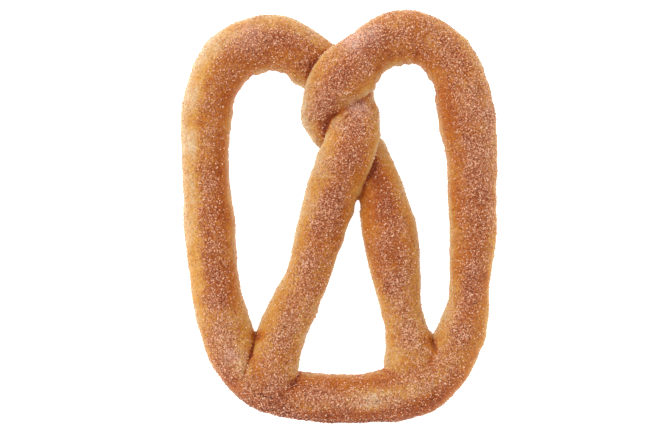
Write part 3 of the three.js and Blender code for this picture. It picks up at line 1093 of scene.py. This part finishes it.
class Skin:
    """The dough's skin as arrays: its points, their neighbours and what is painted on them."""

    def __init__(self, mesh: Mesh, sweep: Mesh) -> None:
        """Reads the skin and looks up where on the rope each point lies.

        Args:
            mesh: the skin.
            sweep: the swept rope, which knows where it lies along and across the strand.
        """
        self.mesh = mesh
        self.places = read(mesh.vertices, "co", 3).astype(float)
        self.edges = read(mesh.edges, "vertices", 2, np.int32)
        count = len(mesh.vertices)
        self.degree = np.bincount(self.edges.ravel(), minlength=count).astype(float)
        self.painted: Dict[str, Array] = {}
        self._locate(sweep)

    def _locate(self, sweep: Mesh) -> None:
        """Finds each point's place along and across the strand.

        Args:
            sweep: the swept rope.
        """
        corners = [tuple(p.vertices) for p in sweep.polygons]
        tree = BVHTree.FromPolygons(read(sweep.vertices, "co", 3).tolist(), corners)
        hits = np.array([tree.find_nearest(Vector(p))[2] for p in self.places])
        first = np.array([c[0] for c in corners])[hits]
        self.along, self.sideways, self.upwards = (
            read(sweep.attributes[name].data, "value", 1)[:, 0][first]
            for name in ("along", "sideways", "upwards")
        )

    def spread(self, values: Array, rounds: int = 1) -> Array:
        """Averages values with those of the neighbouring points.

        Args:
            values: one value or row for each point.
            rounds: how often.

        Returns:
            The smoothed values.
        """
        a, b = self.edges.T
        flat = values.reshape(len(values), -1)
        for _ in range(rounds):
            sums = [np.bincount(a, c[b], len(c)) + np.bincount(b, c[a], len(c)) for c in flat.T]
            total = np.stack(sums, 1)
            flat = 0.5 * flat + 0.5 * total / self.degree[:, None]
        return flat.reshape(values.shape)

    def smooth(self, rounds: int) -> None:
        """Rounds the creases off a little, and keeps the underside on the floor."""
        self.places = self.spread(self.places, rounds)
        self.places[:, 2] = np.maximum(0, self.places[:, 2])

    def normals(self) -> Array:
        """Works out the direction that each point faces.

        Returns:
            One row for each point.
        """
        self.mesh.vertices.foreach_set("co", self.places.astype(np.float32).ravel())
        self.mesh.update()
        return read(self.mesh.vertices, "normal", 3).astype(float)

    def clouds(self, pitch: float, seed: float) -> Array:
        """Smooth noise from about -1 to 1 at every point.

        Args:
            pitch: size of its swellings in millimetres.
            seed: shifts the pattern.

        Returns:
            The noise.
        """
        shift = Vector((seed, seed * 1.7, seed * 2.3))
        scale = 1 / (pitch * MM)
        return np.array([noise.noise(Vector(p) * scale + shift) for p in self.places])

    def meld(self, spots: Sequence[Spot]) -> None:
        """Closes the crease where a tip was smoothed into the bar."""
        share = self.gathered(spots)[:, None]
        self.places += (self.spread(self.places, 50) - self.places) * share

    def dent(self, facing: Array, rounds: int) -> Array:
        """Millimetres that each point lies below its surroundings, some rounds of spread wide."""
        mean = self.spread(self.places, rounds)
        return np.einsum("ij,ij->i", mean - self.places, facing) / MM

    def crease(self, seams: Sequence[Seam]) -> None:
        """Presses the seams in.

        Args:
            seams: where the dough was pressed together.
        """
        facing = self.normals()
        x, y, _ = self.places.T / MM
        up = np.clip(facing[:, 2] * 1.5, 0, 1)
        for seam in seams:
            self.places[:, 2] -= seam.depth * MM * seam.closeness(x, y) * up

    def swell(self, bulges: Sequence[Spot]) -> None:
        """Pushes the strand's sides out or in.

        Args:
            bulges: the swellings and pinches.
        """
        facing = self.normals()
        facing[:, 2] = 0
        x, y, _ = self.places.T / MM
        for bulge in bulges:
            self.places += facing * (bulge.amount * MM * bulge.share(x, y))[:, None]

    def roughen(self, baking: Baking) -> None:
        """Adds the crust's fine unevenness, coarser where wet sugar clumped.

        Args:
            baking: the unevenness, and where sugar clumped.
        """
        facing = self.normals()
        free = np.clip((self.places[:, 2] / MM - 0.6) / 3, 0, 1)
        relief = sum(height * self.clouds(pitch, seed) for height, pitch, seed in baking.relief)
        clumps = baking.clump_relief * self.gathered(baking.crumbs)
        relief += clumps * self.clouds(*baking.clump_noise)
        self.places += facing * (relief * free * MM)[:, None]
        self.places[:, 2] = np.maximum(0, self.places[:, 2])

    def paint(self, baking: Baking) -> None:
        """Works out what the crust's finish and the crystals read from the mesh.

        Args:
            baking: how the rope was baked and sugared.
        """
        facing = self.spread(self.normals(), baking.facing_rounds)
        facing /= np.linalg.norm(facing, axis=1)[:, None]
        # painted shade: points sunk below their surroundings are darkened as creases
        sunk = self.spread(self.dent(facing, baking.hollow_rounds), 2)
        painted_shade = smooth_step(sunk, *baking.hollow_depth)
        # painted shade: wide hollows beside crossings darken the crust and carry less sugar
        dent = self.dent(facing, baking.nook_rounds)
        nook = smooth_step(dent, *baking.nook_depth)
        # tints: painted shade where strands meet, and paler where the dough rose late
        tint = self.gathered(baking.tints)
        across = self.spread(self.sideways, baking.across_rounds)
        below = -self.spread(self.upwards, baking.across_rounds)
        below = np.clip(below / baking.tray_full, 0, 1)
        off = np.abs(across)
        clouds, puffs, cloudlets = (self.clouds(*noisy) for noisy in baking.clouds)
        nook = nook * (1 - smooth_step(off, *baking.nook_edge)) * (1 - below)
        at = {name: baking.along(name, self.along) for name in baking.LEVELS}
        wander = baking.band_wander
        ragged = (across - at["lean"]) / (baking.band_reach * at["spread"])
        ragged = ragged + wander[0] * clouds + wander[1] * cloudlets
        band = np.exp(-(np.abs(ragged) ** baking.band_power))
        sugar = at["sugar"] * band * (1 + baking.band_puffs * puffs)
        rise, most = baking.pale_bare
        sugar = sugar * (1 - baking.nook_bare * nook) * (1 - np.clip(-rise * tint, 0, most))
        sugar = np.maximum(sugar, baking.stray) * (1 - below)
        tilt = across - baking.lean_share * at["lean"]
        flank = np.where(tilt > 0, at["left"], at["right"])
        blend = smooth_step(np.abs(tilt), *baking.flank_blend)
        bake = at["ridge"] + (flank - at["ridge"]) * blend + baking.nook_shade * nook
        rim = smooth_step(off, baking.rim_from, baking.rim_full)
        bake = bake - baking.rim_fade * rim * (1 - below)
        bake = bake + tint + baking.cloud_bake * clouds + (baking.tray_bake - bake) * below
        # pale edge at the outline from above: partly paler crust, partly a painted rim light
        rim = smooth_step(off, baking.pale_from, baking.pale_full)
        rim = rim * np.clip(baking.rim_bake - 2 * bake, 0, 1)
        rim = rim * (1 - smooth_step(dent, *baking.rim_dent))
        open_sky = np.clip(facing[:, 2] + baking.frost_turn, 0, 1)
        crumbs = self.gathered(baking.crumbs) * np.clip(facing[:, 2] + baking.crumb_turn, 0, 1)
        # painted shade along the bar's crumbly outer edge, added to the crease shade
        crumb_edge_shade = np.clip(crumbs, 0, 1) * smooth_step(off, *baking.crumb_edge_shade_reach) * (1 - below)
        self.painted = {
            "painted_shade": np.clip(painted_shade + baking.crumb_edge_shade_weight * crumb_edge_shade, 0, 1),
            # the underside's share: the crust darkens it with painted shade and the crystals keep
            # off it
            "shaded_underside": below,
            "sugar": np.clip(sugar, 0, 1),
            "bake": np.clip(bake, 0, 1),
            "rim": self.spread(rim, baking.across_rounds) * (1 - below),
            "frost": self.gathered(baking.frost) * open_sky,
            "crumbs": crumbs,
        }

    def gathered(self, spots: Sequence[Spot]) -> Array:
        """How much lies at each point, from -1 to 1."""
        x, y, _ = self.places.T / MM
        return np.clip(sum(spot.amount * spot.share(x, y) for spot in spots), -1, 1)

    def write(self) -> None:
        """Puts the points and the painted values on the mesh."""
        self.mesh.vertices.foreach_set("co", self.places.astype(np.float32).ravel())
        store(self.mesh, self.painted)
        self.mesh.update()


class GrainShape(Enum):
    """What a crystal looks like close up."""

    BLOCK = "block"
    SPLINTER = "splinter"
    PEBBLE = "pebble"


@dataclass
class Sprinkle:
    """One kind of crystal, scattered over the crust where the sugar lies."""

    name: str
    finish: CrystalFinish
    shape: GrainShape
    per_square_mm: float
    smallest: float  # millimetres
    largest: float
    seed: int
    sink: float = 0.3
    sugared: float = 1.0
    frosting: float = 0.0
    crumbing: float = 0.0
    stray: float = 0.0

    def _crystal(self, g: GeometryGraph) -> Signal:
        """Adds the shape of one crystal.

        Args:
            g: the tree.

        Returns:
            A crystal a millimetre long.
        """
        if self.shape is GrainShape.BLOCK:
            size = (MM, 0.85 * MM, 0.7 * MM)
            return g.take("GeometryNodeMeshCube", {}, {"Size": size})
        if self.shape is GrainShape.PEBBLE:
            kind = "GeometryNodeMeshIcoSphere"
            inputs = {"Radius": 0.5 * MM, "Subdivisions": 1}
        else:
            kind = "GeometryNodeMeshUVSphere"
            inputs = {"Segments": 4, "Rings": 2, "Radius": 0.6 * MM}
        ball = g.take(kind, {}, inputs)
        flattening = (1.0, 0.85, 0.72)
        return g.take("GeometryNodeTransform", {}, {"Geometry": ball, "Scale": flattening})

    def build(self, crust: Mesh) -> bpy.types.Object:
        """Scatters the crystals over the crust.

        Args:
            crust: the finished mesh of the dough, with its sugar painted on.

        Returns:
            The crystals as one piece.
        """
        names = ("Smallest", "Largest", "Sink", "Sugared", "Frosting", "Crumbing", "Stray", "Seed")
        sizes = {name: getattr(self, name.lower()) for name in names}
        density, finish = self.per_square_mm / MM**2, self.finish.material()
        g = GeometryGraph(self.name, {"Density": density, **sizes, "Finish": finish})
        cover = g.named("sugar") * g.given("Sugared") + g.given("Stray")
        cover = cover + g.given("Frosting") * g.named("frost")
        cover = cover + g.given("Crumbing") * g.named("crumbs")
        cover = cover * (1.0 - g.named("shaded_underside") * 1.3).clamped()
        thickness = g.given("Density") * cover
        inputs = {"Mesh": g.given("Geometry"), "Density": thickness, "Seed": g.given("Seed")}
        kind = "GeometryNodeDistributePointsOnFaces"
        scatter = g.node(kind, {"distribute_method": "RANDOM"}, inputs)
        points = Signal(g, scatter.outputs["Points"])
        size = g.random(g.given("Smallest"), g.given("Largest"), g.given("Seed") + 1)
        points = g.keep(points, "grain_size", size)
        points = g.keep(points, "tint", g.random(0.0, 1.0, g.given("Seed") + 2))
        lift = g.named("grain_size") * (0.5 - g.given("Sink")) * MM
        inputs = {0: Signal(g, scatter.outputs["Normal"]), "Scale": lift}
        rise = g.take("ShaderNodeVectorMath", {"operation": "SCALE"}, inputs)
        points = g.take("GeometryNodeSetPosition", {}, {"Geometry": points, "Offset": rise})
        turns = [g.random(0.0, 2 * math.pi, g.given("Seed") + 3 + i) for i in range(3)]
        turn = g.take("ShaderNodeCombineXYZ", {}, dict(enumerate(turns)))
        inputs = {"Points": points, "Instance": self._crystal(g), "Rotation": turn}
        inputs["Scale"] = g.named("grain_size")
        grains = g.take("GeometryNodeInstanceOnPoints", {}, inputs, "Instances")
        g.close(grains, g.given("Finish"))
        return placed(g.run(crust.copy(), self.name), self.name)


@dataclass
class Studio:
    """Pale floor, soft lights and the camera straight above."""

    floor_size: float = 3.0
    floor_drop: float = 0.1 * MM
    sky: float = 0.85
    table_glow: float = 1.0
    key_power: float = 9.0
    key_place: Tuple[float, float, float] = (-0.95, 0.7, 1.0)
    key_size: float = 1.0
    lens: float = 100.0
    sensor: float = 36.0
    view_middle: Tuple[float, float] = (-0.004, -0.0016)
    view_width: float = 660 * 180 / 414.5 * MM  # 660 pixels, where 414.5 show 180 mm
    focus_height: float = 9 * MM

    def build(self) -> None:
        """Builds the floor, the light and the camera."""
        self._floor()
        self._light()
        self._camera()

    def _floor(self) -> None:
        """A plain white floor under the pretzel."""
        half = self.floor_size / 2
        mesh = bpy.data.meshes.new("floor")
        corners = [(-half, -half), (half, -half), (half, half), (-half, half)]
        mesh.from_pydata([(x, y, -self.floor_drop) for x, y in corners], [], [(0, 1, 2, 3)])
        g = ShaderGraph("white_floor")
        white = (1.0, 1.0, 1.0, 1.0)
        lit = {"Base Color": srgb(245, 245, 245), "Roughness": 0.9, "Emission Color": white}
        mesh.materials.append(g.finish({**lit, "Emission Strength": self.table_glow}))
        floor = linked("floor", mesh)

    def _light(self) -> None:
        """A white surround and one large soft light from the upper left."""
        scene = bpy.context.scene
        scene.view_settings.view_transform = "Standard"
        world = bpy.data.worlds.new("studio")
        scene.world = world
        world.use_nodes = True
        g = Graph(world.node_tree)
        g.tree.nodes.clear()
        glow = g.take("ShaderNodeBackground", {}, {"Color": (1, 1, 1, 1), "Strength": self.sky})
        g.node("ShaderNodeOutputWorld", {}, {"Surface": glow})
        lamp = bpy.data.lights.new("key", "AREA")
        lamp.size = self.key_size
        lamp.energy = self.key_power
        key = linked("key", lamp)
        key.location = self.key_place
        key.rotation_euler = (-Vector(self.key_place)).to_track_quat("-Z", "Y").to_euler()
        key.visible_camera = False

    def _camera(self) -> None:
        """The camera, looking straight down."""
        lens = bpy.data.cameras.new("camera")
        lens.lens = self.lens
        lens.sensor_width = self.sensor
        camera = linked("camera", lens)
        height = self.view_width * self.lens / self.sensor + self.focus_height
        camera.location = (*self.view_middle, height)
        bpy.context.scene.camera = camera


def main() -> None:
    """Builds the pretzel, its sugar and the studio."""
    logging.basicConfig(level=logging.INFO, format="%(message)s")
    Studio().build()
    dough = Dough().build()
    clear = CrystalFinish("clear_sugar", srgb(255, 214, 178), srgb(232, 158, 112))
    honey = CrystalFinish("honey_sugar", srgb(242, 172, 132), srgb(204, 120, 80))
    stained = CrystalFinish("stained_sugar", srgb(206, 130, 98), srgb(152, 84, 56))
    crumb = CrystalFinish("crumbs", srgb(226, 152, 118), srgb(84, 32, 18), 0.7)
    cinnamon = CrystalFinish("ground_cinnamon", srgb(136, 68, 34), srgb(96, 46, 24), 0.8)
    block, splinter, pebble = GrainShape
    sprinkles = [
        Sprinkle(
            "clear_sugar", clear, block, 0.62, 0.26, 0.6, 11,
            frosting=2.0, crumbing=0.35, stray=0.015,
        ),
        Sprinkle("honey_sugar", honey, splinter, 1.1, 0.28, 0.56, 23, stray=0.06),
        Sprinkle("stained_sugar", stained, splinter, 1.0, 0.25, 0.52, 37),
        Sprinkle("cinnamon", cinnamon, splinter, 0.4, 0.2, 0.44, 41, crumbing=0.8),
        Sprinkle("coarse_sugar", clear, pebble, 0.015, 0.8, 1.2, 53, frosting=2.0),
        Sprinkle("sugar_crumbs", crumb, pebble, 0.42, 0.5, 1.0, 59, sugared=0.0, crumbing=1.0),
    ]
    for piece in [dough] + [sprinkle.build(dough.data) for sprinkle in sprinkles]:
        LOG.info("%s: %d faces", piece.name, len(piece.data.polygons))


if __name__ == "__main__":
    main()
